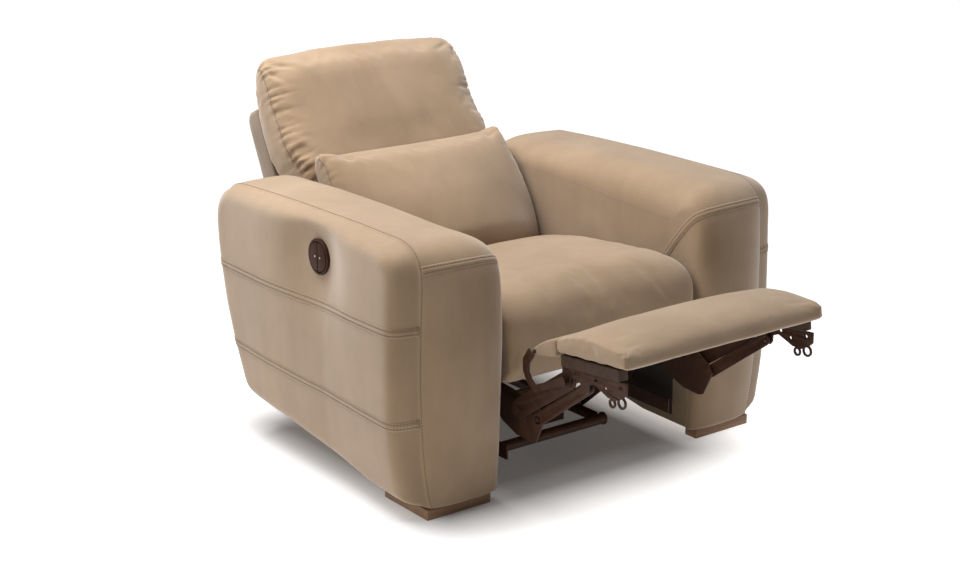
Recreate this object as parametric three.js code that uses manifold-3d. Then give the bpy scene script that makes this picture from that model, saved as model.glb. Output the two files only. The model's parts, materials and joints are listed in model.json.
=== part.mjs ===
// Power recliner armchair, millimetres, +Z up, the sitter faces -Y.
// It is modelled as it stands with the footrest out and the back a little reclined.
// While it is being built, y = 0 is the plane of the arms' front seams and z = 0 the floor. The last lines
// shift it so that the origin is at the middle of its footprint.
import * as THREE from 'three';
import Module from 'manifold-3d';
import { mergeVertices } from 'three/addons/utils/BufferGeometryUtils.js';

const wasm = await Module();
wasm.setup();

// ---------- driving dimensions ----------
const REACH_FRONT = -424.61; // front edge of the footrest pad
const REACH_REAR = 1097.52; // rear edge of the back shell
const ARM_INNER = 299.5; // inner face of each arm, from the centre plane
const ARM_SEAM = 515; // outer top seam of each arm
const ARM_OUTER = 546; // furthest bulge of each arm
const ARM_SIDE_PAD = 491; // where the outer side pad starts
const FOOT_HEIGHT = 25.5;
const SEAT_HALF = 288;
const SEAT_BOTTOM = 330;
const PLATE = 4; // thickness of the steel links
const PIN = 5; // radius of the rivets
const HOLE = 6.2; // radius of the holes that turn on them
const LOOSE_HOLE = 10;
const LAYER = { base: 250, lower: 256.5, guide: 263, upper: 269.5, bracket: 276 };
const BATTEN = { inner: 262, outer: 288 };
const PIVOT = {
  lower: [130, 270], // lower link on the base plate
  middle: [-37, 228], // upper link on the lower link
  footrest: [-215, 350], // footrest bracket on the upper link
  guideLow: [-100, 220],
  guideHigh: [-275, 350],
  torque: [-8, 250],
  back: [590, 307],
};
const BASE_TUBE = { y: 55, z: 100, radius: 13 };
const RAIL = { x: 46, half: 10, bottom: 95, top: 113 };
const CARRIAGE = [160, 107];
const BACK_RECLINE = THREE.MathUtils.degToRad(26);
const BACK_FOOT = [912, 330]; // foot of the back shell's rear face
const FOOTREST_TILT = THREE.MathUtils.degToRad(5.7);
const FOOTREST_HEEL = [-193, 408]; // rear lower edge of the footrest pad
const FOOTREST_DEPTH = 236;
const CONTROL = { y: 364, z: 541, halfDepth: 42, halfHeight: 43, floor: 533, face: 544.5 };
const SIDES = [['left', -1], ['right', 1]];

// ---------- materials ----------
const finish = (color, roughness, metalness) =>
  () => new THREE.MeshStandardMaterial({ color, roughness, metalness });
const suede = finish(0xb09a82, 0.9, 0);
const lining = finish(0x3a2a20, 0.95, 0);
const webbing = finish(0x2b2926, 0.9, 0);
const plywood = finish(0xc19a66, 0.7, 0);
const walnut = finish(0x7d5c40, 0.5, 0);
const steel = finish(0x2f211a, 0.45, 0.7);
const plastic = finish(0x2c221d, 0.4, 0);

const chair = new THREE.Group();

function add(name, geometry, material, parent = chair) {
  const mesh = new THREE.Mesh(geometry, material());
  mesh.name = name;
  parent.add(mesh);
  return mesh;
}

// ---------- shape helpers ----------
// Turns an extrusion of a (y, z) outline so that it runs along x from one value to the other.
const ACROSS = new THREE.Matrix4().makeBasis(
  new THREE.Vector3(0, 1, 0), new THREE.Vector3(0, 0, 1), new THREE.Vector3(1, 0, 0));

function alongX(shape, from, to, curveSegments = 4) {
  const depth = Math.abs(to - from);
  const geometry = new THREE.ExtrudeGeometry(shape, { depth, bevelEnabled: false, curveSegments });
  return geometry.applyMatrix4(ACROSS).translate(Math.min(from, to), 0, 0);
}

function circle(y, z, radius, sides = 12) {
  return [...Array(sides).keys()].map((i) => {
    const angle = (i * 2 * Math.PI) / sides;
    return new THREE.Vector2(y + radius * Math.cos(angle), z + radius * Math.sin(angle));
  });
}

function outline(points, holes = []) {
  const shape = new THREE.Shape(points.map(([y, z]) => new THREE.Vector2(y, z)));
  shape.holes = holes.map(([y, z, radius]) => new THREE.Path(circle(y, z, radius)));
  return shape;
}

function block(x, y, z) {
  const size = [x, y, z].map(([low, high]) => Math.abs(high - low));
  const middle = [x, y, z].map(([low, high]) => (low + high) / 2);
  return new THREE.BoxGeometry(...size).translate(...middle);
}

function rodX(radius, from, to, [y, z], sides = 12) {
  const rod = new THREE.CylinderGeometry(radius, radius, Math.abs(to - from), sides);
  return rod.rotateZ(Math.PI / 2).translate((from + to) / 2, y, z);
}

// A link with round ends of the given half width, and a hole at each listed end.
function linkShape([ya, za], [yb, zb], halfWidth, holes) {
  const angle = Math.atan2(zb - za, yb - ya);
  const shape = new THREE.Shape();
  shape.absarc(yb, zb, halfWidth, angle - Math.PI / 2, angle + Math.PI / 2, false);
  shape.absarc(ya, za, halfWidth, angle + Math.PI / 2, angle + 3 * Math.PI / 2, false);
  shape.holes = holes.map(([y, z, radius = HOLE]) => new THREE.Path(circle(y, z, radius)));
  return shape;
}

// Joins equal closed loops, one at each x, into one body. A loop is a list of [y, z] or [y, z, dx].
function loft(stations) {
  const sorted = [...stations].sort((a, b) => a.x - b.x);
  const flat = sorted[0].loop.map(([y, z]) => new THREE.Vector2(y, z));
  if (THREE.ShapeUtils.isClockWise(flat)) sorted.forEach((s) => { s.loop = [...s.loop].reverse(); });
  const count = flat.length;
  const positions = sorted.flatMap(({ x, loop }) => loop.flatMap(([y, z, dx = 0]) => [x + dx, y, z]));
  const index = [];
  for (let i = 0; i + 1 < sorted.length; i += 1) {
    for (let j = 0; j < count; j += 1) {
      const a = i * count + j;
      const b = i * count + ((j + 1) % count);
      index.push(a, b, b + count, a, b + count, a + count);
    }
  }
  for (const end of [0, sorted.length - 1]) {
    const loop = sorted[end].loop.map(([y, z]) => new THREE.Vector2(y, z));
    for (const [a, b, c] of THREE.ShapeUtils.triangulateShape(loop, [])) {
      const first = end * count;
      index.push(first + a, first + (end ? b : c), first + (end ? c : b));
    }
  }
  const geometry = new THREE.BufferGeometry();
  geometry.setAttribute('position', new THREE.Float32BufferAttribute(positions, 3));
  geometry.setIndex(index);
  return geometry;
}

function shrink(loop, scale) {
  const middle = [0, 1].map((k) => loop.reduce((sum, p) => sum + p[k], 0) / loop.length);
  return loop.map((p) => [0, 1].map((k) => middle[k] + (p[k] - middle[k]) * scale));
}

// A cushion of one side outline across its width, with its two ends drawn in.
function cushion(halfWidth, loopAt, ends = [[1, 0.86], [0.965, 0.97], [0.87, 1]]) {
  const stations = [];
  for (const side of [-1, 1]) {
    for (const [part, scale] of ends) {
      stations.push({ x: side * halfWidth * part, loop: shrink(loopAt(part), scale) });
    }
    stations.push({ x: side * halfWidth * 0.5, loop: loopAt(0.5) });
  }
  return loft(stations);
}

function solid(geometry) {
  const bare = geometry.index ? geometry : geometry.clone();
  bare.deleteAttribute('normal');
  bare.deleteAttribute('uv');
  const merged = mergeVertices(bare, 1e-3);
  return new wasm.Manifold(new wasm.Mesh({
    numProp: 3,
    vertProperties: new Float32Array(merged.attributes.position.array),
    triVerts: new Uint32Array(merged.index.array),
  }));
}

function shaped(body) {
  const { vertProperties, triVerts } = body.getMesh();
  const geometry = new THREE.BufferGeometry();
  geometry.setAttribute('position', new THREE.BufferAttribute(vertProperties, 3));
  geometry.setIndex(new THREE.BufferAttribute(triVerts, 1));
  return geometry;
}

const join = (...pieces) => shaped(pieces.map(solid).reduce((all, piece) => all.add(piece)));
const cut = (piece, ...tools) =>
  shaped(tools.map(solid).reduce((rest, tool) => rest.subtract(tool), solid(piece)));

// The outline of the control, or of one half of it.
function oval(scale, from = 0, to = 2 * Math.PI) {
  const shape = new THREE.Shape();
  shape.absellipse(CONTROL.y, CONTROL.z, CONTROL.halfDepth * scale, CONTROL.halfHeight * scale, from, to);
  return shape;
}

// ---------- arms ----------
// Side outline of an arm, from the front foot round the back to the front; front and top can be moved out.
function armOutline(front = 0, top = 0) {
  const shape = new THREE.Shape();
  shape.moveTo(-front, 26);
  shape.lineTo(175, 28);
  shape.lineTo(381, 60);
  shape.lineTo(683, 92);
  shape.quadraticCurveTo(728, 97, 738, 124);
  shape.quadraticCurveTo(835, 390, 844, 509);
  shape.quadraticCurveTo(850, 610 + top, 760, 628 + top);
  shape.quadraticCurveTo(430, 650 + top, 98, 644 + top);
  shape.bezierCurveTo(30 - front, 642 + top, -front, 610 + top * 0.6, -front, 540);
  return shape.getPoints(5).map((p) => [p.x, p.y]);
}

// The wrap runs up the front, over the top and down the rear, so its outline is a thick upside-down U.
function wrapLoop(front, top) {
  const outer = armOutline(front, top).slice(3).reverse();
  const foot = [[-front, 30], [46, 30]];
  const inner = new THREE.Path();
  inner.moveTo(46, 470);
  inner.quadraticCurveTo(46, 538, 112, 538);
  inner.lineTo(735, 538);
  inner.quadraticCurveTo(775, 538, 772, 500);
  inner.lineTo(683, 130);
  return [...outer, ...inner.getPoints(4).reverse().map((p) => [p.x, p.y]), ...foot.reverse()];
}

function buildArm(name, side) {
  const across = (x) => side * x;
  const bulges = [[ARM_INNER + 0.5, 0, -58], [304, 10, -38], [322, 24, -16], [352, 33, -2],
    [398, 37, 8], [446, 33, 9], [ARM_SIDE_PAD - 0.5, 10, 3]];
  add(`arm_wrap_${name}`,
    loft(bulges.map(([x, front, top]) => ({ x: across(x), loop: wrapLoop(front, top) }))), suede);

  // The outer side pad narrows towards the floor and is drawn in round its edge.
  const steps = [[ARM_SIDE_PAD, 1], [ARM_SEAM, 1], [530, 0.972], [541, 0.92], [ARM_OUTER, 0.83]];
  const full = armOutline();
  const pad = loft(steps.map(([x, scale]) => ({
    x: across(x),
    loop: shrink(full, scale).map(([y, z]) => {
      const tuck = Math.max(0, 1 - z / 190) * (x - ARM_SIDE_PAD) * 0.55;
      return [y, z, -side * tuck];
    }),
  })));
  const pocket = alongX(oval(1.01), -ARM_OUTER - 4, -CONTROL.floor + 0.4, 10);
  add(`arm_side_pad_${name}`, side < 0 ? cut(pad, pocket) : pad, suede);

  const inside = [[52, 302], [718, 302], [764, 500], [728, 533], [118, 533], [52, 480]];
  add(`arm_inner_pad_${name}`, loft([[ARM_INNER, 0.975], [307, 1], [342, 1]]
    .map(([x, scale]) => ({ x: across(x), loop: shrink(inside, scale) }))), suede);
  const underside = [[50, 48], [175, 50], [381, 72], [640, 98], [676, 130], [722, 297], [50, 297]];
  add(`arm_lining_${name}`, alongX(outline(underside), across(ARM_INNER + 0.5), across(306)), lining);

  const board = [[48, 32], [175, 32], [381, 66], [600, 90], [676, 94], [681, 130], [765, 500],
    [735, 534], [114, 534], [50, 470]];
  add(`arm_frame_${name}`, join(
    alongX(outline(board), across(343), across(358)),
    alongX(outline(board), across(474), across(489)),
    block([across(357), across(475)], [150, 210], [90, 150]),
    block([across(357), across(475)], [150, 620], [470, 500]),
    block([across(357), across(475)], [620, 680], [104, 150])), plywood);

  const footPlan = new THREE.Shape();
  footPlan.moveTo(across(322), 0);
  footPlan.lineTo(across(500), 0);
  footPlan.lineTo(across(500), 171);
  footPlan.lineTo(across(460), 171);
  footPlan.lineTo(across(460), 40);
  footPlan.lineTo(across(322), 40);
  add(`front_foot_${name}`, new THREE.ExtrudeGeometry(footPlan, { depth: FOOT_HEIGHT, bevelEnabled: false }),
    walnut);
  const rearFoot = new THREE.LatheGeometry([[0, 0], [17, 0], [22, 89], [0, 89]]
    .map(([r, z]) => new THREE.Vector2(r, z)), 12);
  add(`rear_foot_${name}`, rearFoot.rotateX(Math.PI / 2).translate(across(372), 655, 0), plastic);
}
SIDES.forEach(([name, side]) => buildArm(name, side));

// ---------- control on the left arm ----------
function buildControl() {
  const bezel = alongX(oval(1), -CONTROL.face, -CONTROL.floor, 10);
  const recess = alongX(oval(0.86), -ARM_OUTER - 1, -CONTROL.floor - 4, 10);
  add('control_bezel', cut(bezel, recess), plastic);
  for (const [name, shift, from] of [['front', -1.2, Math.PI / 2], ['rear', 1.2, -Math.PI / 2]]) {
    const button = alongX(oval(0.8, from, from + Math.PI), -ARM_OUTER, -CONTROL.floor - 7, 6);
    add(`control_button_${name}`, button.translate(0, shift, 0), plastic);
  }
}
buildControl();

// ---------- seat ----------
function seatLoop(part) {
  const crown = 14 * (1 - part ** 4);
  const path = new THREE.Path();
  path.moveTo(602, 332);
  path.lineTo(602, 398);
  path.splineThru([[459, 436], [306, 456], [108, 464]].map(([y, z]) => new THREE.Vector2(y, z + crown)));
  path.bezierCurveTo(30, 460 + crown, -30, 440 + crown, -30, 385);
  path.quadraticCurveTo(-24, 300, 2, 276);
  path.lineTo(50, 273);
  path.lineTo(72, SEAT_BOTTOM);
  return path.getPoints(4).map((p) => [p.x, p.y]);
}

function buildSeat() {
  add('seat_cushion', cushion(SEAT_HALF, seatLoop, [[1, 0.96], [0.97, 1], [0.85, 1]]), suede);
  for (const [name, side] of SIDES) {
    add(`seat_side_rail_${name}`, block([side * 205, side * 240], [78, 600], [288, 326]), plywood);
  }
  add('seat_front_rail', block([-204.5, 204.5], [78, 110], [288, 326]), plywood);
  add('seat_rear_rail', block([-204.5, 204.5], [568, 600], [288, 326]), plywood);
  for (const [name, side] of SIDES) {
    add(`seat_strap_${name}`, block([side * 60, side * 120], [80, 598], [326.4, 328.8]), webbing);
  }
}
buildSeat();

// ---------- back, in a group whose z runs up the back and whose y points out of its rear face ----------
const back = new THREE.Group();
back.position.set(0, ...BACK_FOOT);
back.rotation.x = -BACK_RECLINE;
chair.add(back);

const shellLoop = () => {
  const shape = new THREE.Shape();
  shape.moveTo(0, 0);
  shape.lineTo(0, 418);
  shape.quadraticCurveTo(-4, 446, -32, 448);
  shape.lineTo(-36, 446);
  shape.lineTo(-36, 0);
  return shape.getPoints(4).map((p) => [p.x, p.y]);
};

// Side outline of the head cushion: flat against the frame, up over a round top and down the front.
const headLoop = (part) => {
  const puff = 12 * (1 - part ** 3);
  const path = new THREE.Path();
  path.moveTo(-67, 20);
  path.lineTo(-67, 366);
  path.quadraticCurveTo(-78, 470, -112, 524 + puff);
  path.quadraticCurveTo(-135, 556 + puff, -154, 545 + puff);
  path.quadraticCurveTo(-170, 520, -176 - puff, 450);
  path.quadraticCurveTo(-190 - puff, 375, -212, 290);
  path.lineTo(-214, 150);
  path.lineTo(-200, 24);
  return path.getPoints(4).map((p) => [p.x, p.y]);
};

const lumbarLoop = (part) => {
  const puff = 88 * (1 - part ** 2);
  const path = new THREE.Path();
  path.moveTo(-222, -38);
  path.lineTo(-220, 190);
  path.quadraticCurveTo(-228, 236, -268, 236);
  path.quadraticCurveTo(-292, 232, -304 - puff * 0.3, 180);
  path.quadraticCurveTo(-334 - puff * 0.7, 80, -338 - puff, -38);
  path.quadraticCurveTo(-330 - puff, -58, -300 - puff, -58);
  path.lineTo(-250, -58);
  return path.getPoints(4).map((p) => [p.x, p.y]);
};

function buildBack() {
  add('back_shell', loft([[290, 0.97], [280, 1], [-280, 1], [-290, 0.97]]
    .map(([x, scale]) => ({ x, loop: shrink(shellLoop(), scale) }))), suede, back);
  for (const [name, side] of SIDES) {
    add(`back_stile_${name}`, block([side * 248, side * 276], [-66, -37], [8, 400]), plywood, back);
  }
  add('back_top_rail', block([-247.6, 247.6], [-66, -37], [360, 400]), plywood, back);
  add('back_bottom_rail', block([-247.6, 247.6], [-66, -37], [64, 104]), plywood, back);
  add('back_strap', block([-247.6, 247.6], [-50, -47.5], [190, 270]), webbing, back);
  add('head_cushion', cushion(297, headLoop), suede, back);
  add('lumbar_cushion', cushion(290, lumbarLoop), suede, back);
  // Hinge brackets reach from the seat's side rails to the lower ends of the stiles.
  const [y, z] = PIVOT.back;
  const upper = [[-38, 6], [-38, 58], [-65, 58], [-65, 6]].map(([out, up]) => [
    BACK_FOOT[0] + out * Math.cos(BACK_RECLINE) + up * Math.sin(BACK_RECLINE),
    BACK_FOOT[1] - out * Math.sin(BACK_RECLINE) + up * Math.cos(BACK_RECLINE)]);
  const bracket = [[y - 20, z - 16], [y + 12, z - 20], [850, 318], ...upper, [y + 6, z + 20],
    [y - 20, z + 16]];
  for (const [name, side] of SIDES) {
    add(`back_hinge_${name}`, join(alongX(outline(bracket), side * 242, side * 246),
      rodX(PIN + 4, side * 240.4, side * 248, [y, z])), steel);
  }
}
buildBack();

// ---------- base of the mechanism ----------
function buildBase() {
  const rear = { y: 572, z: 100 };
  const [py, pz] = PIVOT.lower;
  // The pivot's post leans forward, so that the torque tube can swing down in front of it.
  const plate = [[28, 78], [618, 78], [618, 114], [228, 114], [py + 24, pz], [py + 20, pz + 16],
    [py, pz + 22], [py - 20, pz + 16], [py - 24, pz - 6], [178, 114], [28, 114]];
  for (const [name, side] of SIDES) {
    const inner = side * LAYER.base;
    add(`base_plate_${name}`, join(
      alongX(outline(plate, [[py, pz, HOLE]]), inner, inner + side * PLATE),
      block([side * 240.6, side * 250.2], [330, 560], [280, 286]),
      block([side * 246, side * 250.2], [420, 470], [112, 281])), steel);
    add(`arm_bracket_${name}`, join(
      block([side * 254.4, side * 258.4], [400, 500], [80, 160]),
      block([side * 258, side * 298.8], [400, 500], [80, 84]),
      block([side * 295, side * 299], [400, 500], [80, 160])), steel);
  }
  add('front_tube', join(rodX(BASE_TUBE.radius, -249.6, RAIL.x + 12, [BASE_TUBE.y, BASE_TUBE.z]),
    rodX(BASE_TUBE.radius + 3, RAIL.x + 12, RAIL.x + 18, [BASE_TUBE.y, BASE_TUBE.z])), steel);
  add('rear_tube', rodX(BASE_TUBE.radius, -249.6, 249.6, [rear.y, rear.z]), steel);
  const railEnds = [BASE_TUBE.y + BASE_TUBE.radius + 0.4, rear.y - BASE_TUBE.radius - 0.4];
  add('actuator_rail', block([RAIL.x - RAIL.half, RAIL.x + RAIL.half], railEnds,
    [RAIL.bottom, RAIL.top]), steel);
  // The motor hangs beside the rail, and its gearbox neck reaches under it.
  add('motor_housing', join(
    block([-44, 18], [150, 240], [78, 124]),
    rodX(21, -92, -43, [195, 101], 20),
    block([17, RAIL.x + RAIL.half], [185, 225], [84, RAIL.bottom - 0.4])), plastic);
}
buildBase();

// ---------- footrest linkage ----------
function buildLinks() {
  const head = [[150, 252], [158, 278], [143, 292], [118, 292], [60, 268], [-20, 262], [-60, 262],
    [-104, 238], [-116, 222], [-108, 204], [-86, 160], [-70, 154], [-14, 158], [36, 176], [118, 240]];
  for (const [name, side] of SIDES) {
    const at = (layer, extra = 0) => side * (LAYER[layer] + extra);
    const strip = (layer, shape) => alongX(shape, at(layer), at(layer, PLATE));
    const rivet = (from, to, where) => rodX(PIN, from, to, where);
    const knob = (layer, where) => rodX(PIN + 3, at(layer, PLATE + 0.4), at(layer, PLATE + 2.2), where);
    add(`lower_link_${name}`, join(
      strip('lower', outline(head)),
      rivet(at('base', -3), at('lower', 1), PIVOT.lower),
      rodX(PIN + 3, at('base', -3), at('base', -0.6), PIVOT.lower),
      rivet(at('lower', 1), at('upper', PLATE + 1), PIVOT.middle),
      knob('upper', PIVOT.middle),
      rivet(at('lower', 1), at('guide', PLATE + 1), PIVOT.guideLow)), steel);
    // The guide link's lower hole is wide, because the rivet in it wanders a little as the linkage folds.
    add(`guide_link_${name}`, strip('guide', linkShape(PIVOT.guideLow, PIVOT.guideHigh, 15,
      [[...PIVOT.guideLow, LOOSE_HOLE], PIVOT.guideHigh])), steel);
    add(`upper_link_${name}`, join(
      strip('upper', linkShape(PIVOT.middle, PIVOT.footrest, 23, [PIVOT.middle])),
      rivet(at('upper', 1), at('bracket', PLATE + 1), PIVOT.footrest),
      knob('bracket', PIVOT.footrest)), steel);
  }
  const [ty, tz] = PIVOT.torque;
  add('torque_tube', rodX(11, -256.1, 256.1, [ty, tz]), steel);
  const drive = linkShape(PIVOT.torque, CARRIAGE, 16, [CARRIAGE, [ty, tz, 11.8]]);
  add('drive_link', alongX(drive, RAIL.x + 15, RAIL.x + 20), steel);
  const [cy] = CARRIAGE;
  add('rail_carriage', join(
    block([RAIL.x - 13, RAIL.x + 13], [cy - 28, cy + 28], [RAIL.top + 0.6, RAIL.top + 10]),
    block([RAIL.x - 13, RAIL.x - 10.6], [cy - 28, cy + 28], [RAIL.bottom + 4, RAIL.top + 2]),
    block([RAIL.x + 10.6, RAIL.x + 13], [cy - 28, cy + 28], [RAIL.bottom + 4, RAIL.top + 2])), steel);
}
buildLinks();

// ---------- footrest, its pad in a group whose z points out of the pad's upper face ----------
const footrest = new THREE.Group();
footrest.position.set(0, ...FOOTREST_HEEL);
footrest.rotation.x = -FOOTREST_TILT;
chair.add(footrest);

const padLoop = (part) => {
  const crown = 10 * (1 - part ** 4);
  const front = -FOOTREST_DEPTH;
  const path = new THREE.Path();
  path.moveTo(0, 12.4);
  path.quadraticCurveTo(-2, 34, -24, 38 + crown);
  path.quadraticCurveTo(front / 2, 46 + crown * 1.5, front + 26, 38 + crown);
  path.quadraticCurveTo(front, 34, front + 2, 12.4);
  return path.getPoints(4).map((p) => [p.x, p.y]);
};

const flapLoop = () => {
  const path = new THREE.Path();
  path.moveTo(-104, 392);
  path.quadraticCurveTo(-104, 382, -124, 384);
  path.lineTo(-182, 394);
  path.quadraticCurveTo(-190, 396, -189, 406);
  path.quadraticCurveTo(-189, 438, -174, 436);
  path.quadraticCurveTo(-134, 420, -104, 392);
  return path.getPoints(4).slice(0, -1).map((p) => [p.x, p.y]);
};

function buildFootrest() {
  const front = -FOOTREST_DEPTH;
  add('footrest_board', block([-284, 284], [front + 10, -8], [0, 12]), plywood, footrest);
  add('footrest_cushion', cushion(291, padLoop), suede, footrest);
  add('flap_cushion', cushion(288, flapLoop, [[1, 0.94], [0.97, 1], [0.85, 1]]), suede);
  const [ky, kz] = PIVOT.footrest;
  const [gy, gz] = PIVOT.guideHigh;
  const lobe = (y, z, radius) => [[y + radius, z + 8], [y + radius, z - 4], [y + radius / 2, z - radius],
    [y - radius / 2, z - radius], [y - radius, z - 4], [y - radius, z + 10]];
  const web = [[-200, 380], ...lobe(ky, kz, 14), [-246, 363], ...lobe(gy, gz, 13), [-306, 368],
    [-330, 360], [-352, 352], [-378, 352], [-400, 364], [-412, 374], [-412, 400]];
  const boltHoles = [[-243, 376, 3.5], [-312, 380, 5], [-344, 370, 4], [-392, 386, 4]];
  const hook = new THREE.Shape();
  hook.moveTo(-100, 396);
  hook.bezierCurveTo(-58, 360, -84, 312, -124, 298);
  hook.lineTo(ky + 4, kz - 12);
  hook.absarc(ky, kz, 12, -Math.PI / 2, Math.PI / 2, true);
  hook.lineTo(-126, 316);
  hook.bezierCurveTo(-104, 326, -84, 352, -120, 384);
  for (const [name, side] of SIDES) {
    add(`footrest_batten_${name}`,
      block([side * BATTEN.inner, side * BATTEN.outer], [front + 34, -10], [-27, -0.4]), walnut, footrest);
    const inner = side * LAYER.bracket;
    const ring = ([y, z, radius]) =>
      alongX(outline(circle(y, z, radius).map((p) => [p.x, p.y]), [[y, z, radius - 5]]), inner,
        inner + side * PLATE);
    add(`footrest_bracket_${name}`, join(
      alongX(outline(web, [[ky, kz, HOLE], ...boltHoles]), inner, inner + side * PLATE),
      ring([-366, 343, 11]), ring([-396, 352, 14]),
      rodX(PIN, side * (LAYER.guide - 1), inner + side, [gy, gz])), steel);
    add(`flap_arm_${name}`, join(alongX(hook, side * 290.6, side * 294.6),
      rodX(PIN, side * 283.4, side * 291, [ky, kz]),
      rodX(PIN, side * 288.4, side * 291, [-116, 392])), steel);
  }
}
buildFootrest();

chair.position.y = -(REACH_FRONT + REACH_REAR) / 2;
export default chair;
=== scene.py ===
"""Looks for the recliner armchair: suede upholstery, dark steel linkage and wooden feet round the CAD frame.

Shapes are given in millimetres in the chair's own frame: y = 0 is the plane of the arms' front seams,
z = 0 the floor and x = 0 the middle. place() turns them into the row frame in metres.
"""
import json
import math

import bmesh
import bpy
import numpy as np
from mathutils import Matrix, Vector, noise
from mathutils.bvhtree import BVHTree


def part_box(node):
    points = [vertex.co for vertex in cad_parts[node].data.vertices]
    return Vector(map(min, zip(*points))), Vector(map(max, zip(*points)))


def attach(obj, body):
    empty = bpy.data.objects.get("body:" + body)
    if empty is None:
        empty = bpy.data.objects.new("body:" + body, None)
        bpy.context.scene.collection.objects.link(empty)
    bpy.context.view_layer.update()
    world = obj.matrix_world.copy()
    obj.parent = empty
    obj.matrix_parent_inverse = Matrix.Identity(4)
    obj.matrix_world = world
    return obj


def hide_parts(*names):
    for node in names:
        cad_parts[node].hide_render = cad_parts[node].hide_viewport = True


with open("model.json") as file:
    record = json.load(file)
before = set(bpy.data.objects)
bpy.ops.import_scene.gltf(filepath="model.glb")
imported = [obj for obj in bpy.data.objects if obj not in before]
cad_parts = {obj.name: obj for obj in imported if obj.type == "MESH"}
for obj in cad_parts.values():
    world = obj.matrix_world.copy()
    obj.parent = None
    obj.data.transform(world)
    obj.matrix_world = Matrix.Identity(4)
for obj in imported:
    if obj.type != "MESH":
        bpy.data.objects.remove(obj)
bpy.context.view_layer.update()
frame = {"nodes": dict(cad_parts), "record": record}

MM = 0.001
WELD = 2e-5  # points closer than this, in metres, are joined
SEAM_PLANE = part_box("front_foot_left")[0].y
BODY_OF = {n: b for b, names in frame["record"]["behaviour"]["bodies"].items() for n in names}
SLOT_OF = {s["node"]: s["material_slot"] for s in frame["record"]["subparts"]}
SIDES = (("left", -1), ("right", 1))

ARM_INNER = 299.8
ARM_MIDDLE = 400
BACK_FOOT = (912, 330)
BACK_RECLINE = math.radians(26)
FOOTREST_HEEL = (-193, 408)
FOOTREST_TILT = math.radians(5.7)


# ---------- geometry helpers ----------
def place(points):
    """Chair-frame millimetres to row-frame metres."""
    return np.asarray(points, float) * MM + np.array([0, SEAM_PLANE, 0])


def unplace(points):
    """Row-frame metres to chair-frame millimetres."""
    return (np.asarray(points, float) - np.array([0, SEAM_PLANE, 0])) / MM


def turned(points, foot, angle):
    """Points (x, out, up) of a leaning part's own frame, in the chair's frame."""
    p = np.asarray(points, float)
    c, s = math.cos(angle), math.sin(angle)
    y = foot[0] + p[..., 1] * c + p[..., 2] * s
    z = foot[1] - p[..., 1] * s + p[..., 2] * c
    return np.stack([p[..., 0], y, z], axis=-1)


def on_back(points):
    """Points of the leaning back's own frame, in the chair's frame."""
    return turned(points, BACK_FOOT, BACK_RECLINE)


def eased(part):
    """0 to 1 with a soft start and end."""
    part = np.clip(part, 0, 1)
    return part * part * (3 - 2 * part)


def back_height(points):
    """How far up the back's own frame each point is."""
    return (np.asarray(points, float) - (0, *BACK_FOOT)) @ (0, math.sin(BACK_RECLINE), math.cos(BACK_RECLINE))


def on_footrest(points):
    """Points of the tilted footrest's own frame, in the chair's frame."""
    return turned(points, FOOTREST_HEEL, FOOTREST_TILT)


def curve(start, *steps, per_step=24):
    """A polyline from start through steps: one point for a line, two for a quadratic, three for a cubic."""
    points = [np.array(start, float)]
    for step in steps:
        ends = [points[-1]] + [np.array(p, float) for p in step]
        degree = len(ends) - 1
        for t in np.linspace(0, 1, per_step + 1)[1:]:
            blend = [math.comb(degree, k) * t**k * (1 - t) ** (degree - k) for k in range(degree + 1)]
            points.append(sum(b * e for b, e in zip(blend, ends)))
    return np.array(points)


def run_of(line):
    """How far along a polyline each of its points is."""
    return np.concatenate([[0], np.cumsum(np.linalg.norm(np.diff(line, axis=0), axis=1))])


def at(stops, run, values):
    """The rows of values at given stops along a line, whose points are at run."""
    return np.stack([np.interp(stops, run, values[:, k]) for k in range(values.shape[1])], axis=-1)


def spread(points, count=None, step=None, closed=False):
    """The polyline again, with evenly spaced points."""
    points = np.asarray(points, float)
    if closed:
        points = np.vstack([points, points[:1]])
    run = run_of(points)
    if count is None:
        count = max(2, int(round(run[-1] / step)) + (0 if closed else 1))
    stops = np.linspace(0, run[-1], count + 1)[:-1] if closed else np.linspace(0, run[-1], count)
    return at(stops, run, points)


def add(name, data):
    """A new object in the scene."""
    thing = bpy.data.objects.new(name, data)
    bpy.context.scene.collection.objects.link(thing)
    return thing


def make(name, points, faces):
    """A mesh object from chair-frame millimetres, its doubled points joined and its faces turned outwards."""
    mesh = bpy.data.meshes.new(name)
    mesh.from_pydata([tuple(p) for p in place(points)], [], [tuple(f) for f in faces])
    bm = bmesh.new()
    bm.from_mesh(mesh)
    bmesh.ops.remove_doubles(bm, verts=bm.verts, dist=WELD)
    bmesh.ops.dissolve_degenerate(bm, dist=1e-6, edges=bm.edges)
    bmesh.ops.recalc_face_normals(bm, faces=bm.faces)
    bm.to_mesh(mesh)
    bm.free()
    mesh.polygons.foreach_set("use_smooth", [True] * len(mesh.polygons))
    return add(name, mesh)


def grid_faces(rows, columns, wrap=False, start=0):
    """The faces between rows of points, which are closed loops if wrap is set."""
    faces = []
    for i in range(rows - 1):
        for j in range(columns if wrap else columns - 1):
            a, b = start + i * columns + j, start + i * columns + (j + 1) % columns
            faces.append((a, b, b + columns, a + columns))
    return faces


def tube_faces(rows, columns):
    """The faces between closed loops, and a face over each end."""
    ends = [tuple(range(columns)), tuple(range((rows - 1) * columns, rows * columns))]
    return grid_faces(rows, columns, wrap=True) + ends


def settle(piece):
    """Applies the piece's modifiers."""
    graph = bpy.context.evaluated_depsgraph_get()
    mesh = bpy.data.meshes.new_from_object(piece.evaluated_get(graph))
    piece.modifiers.clear()
    piece.data = mesh
    mesh.polygons.foreach_set("use_smooth", [True] * len(mesh.polygons))


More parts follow.
